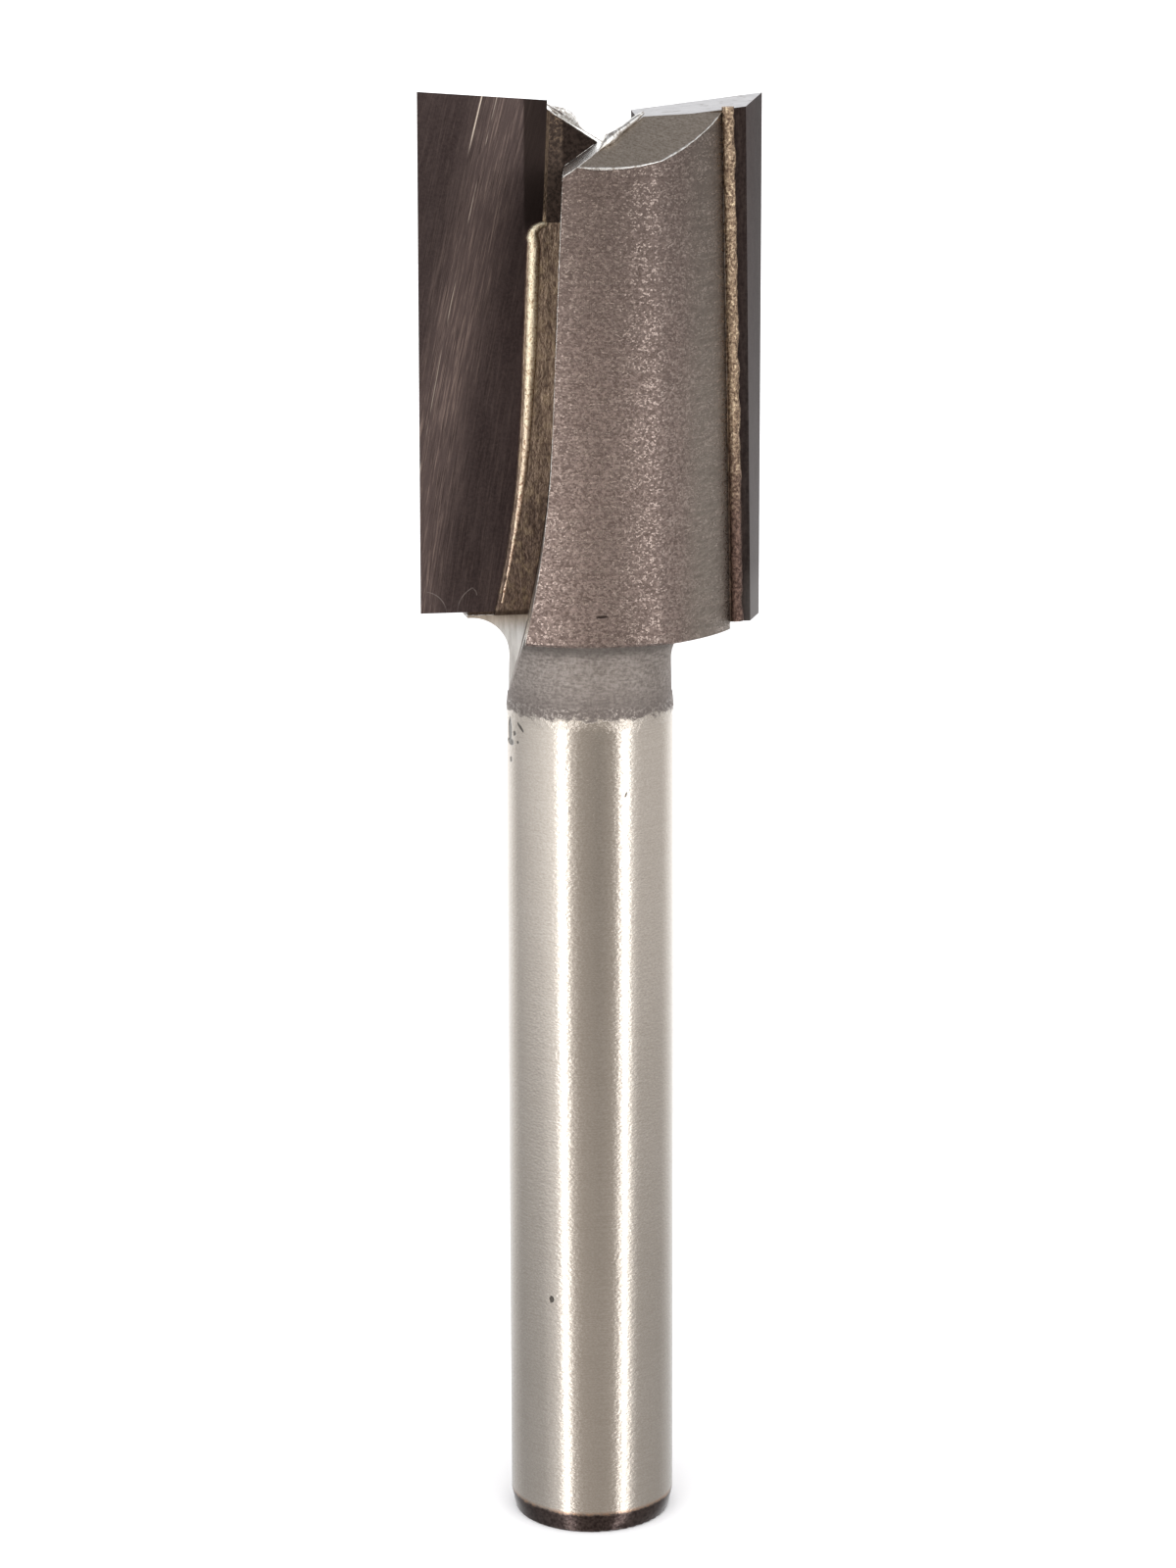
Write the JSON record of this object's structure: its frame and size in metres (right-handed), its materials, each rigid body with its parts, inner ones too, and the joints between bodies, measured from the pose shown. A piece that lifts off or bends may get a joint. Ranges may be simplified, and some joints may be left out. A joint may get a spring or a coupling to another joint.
{
  "type": "router bit",
  "caption": "Straight plunge-cutting router bit: turned steel shank and fluted head with brazed carbide tips, for cutting square-bottomed grooves and mortises in wood.",
  "frame": {"origin": "centre of the shank's end face, on which the bit stands", "axes": "+Z along the tool axis from the shank's end to the cutting end; +X towards the tip of side b"},
  "size_m": [0.0126, 0.0118, 0.0549],
  "materials": {
    "steel": "ground shank, matte turned and blasted head",
    "carbide": "fine ground",
    "braze": "grainy, as run"
  },
  "bodies": {
    "root": {"steel_body": "steel", "carbide_tip_a": "carbide", "carbide_tip_b": "carbide", "braze_a": "braze", "braze_b": "braze"}
  },
  "joints": []
}
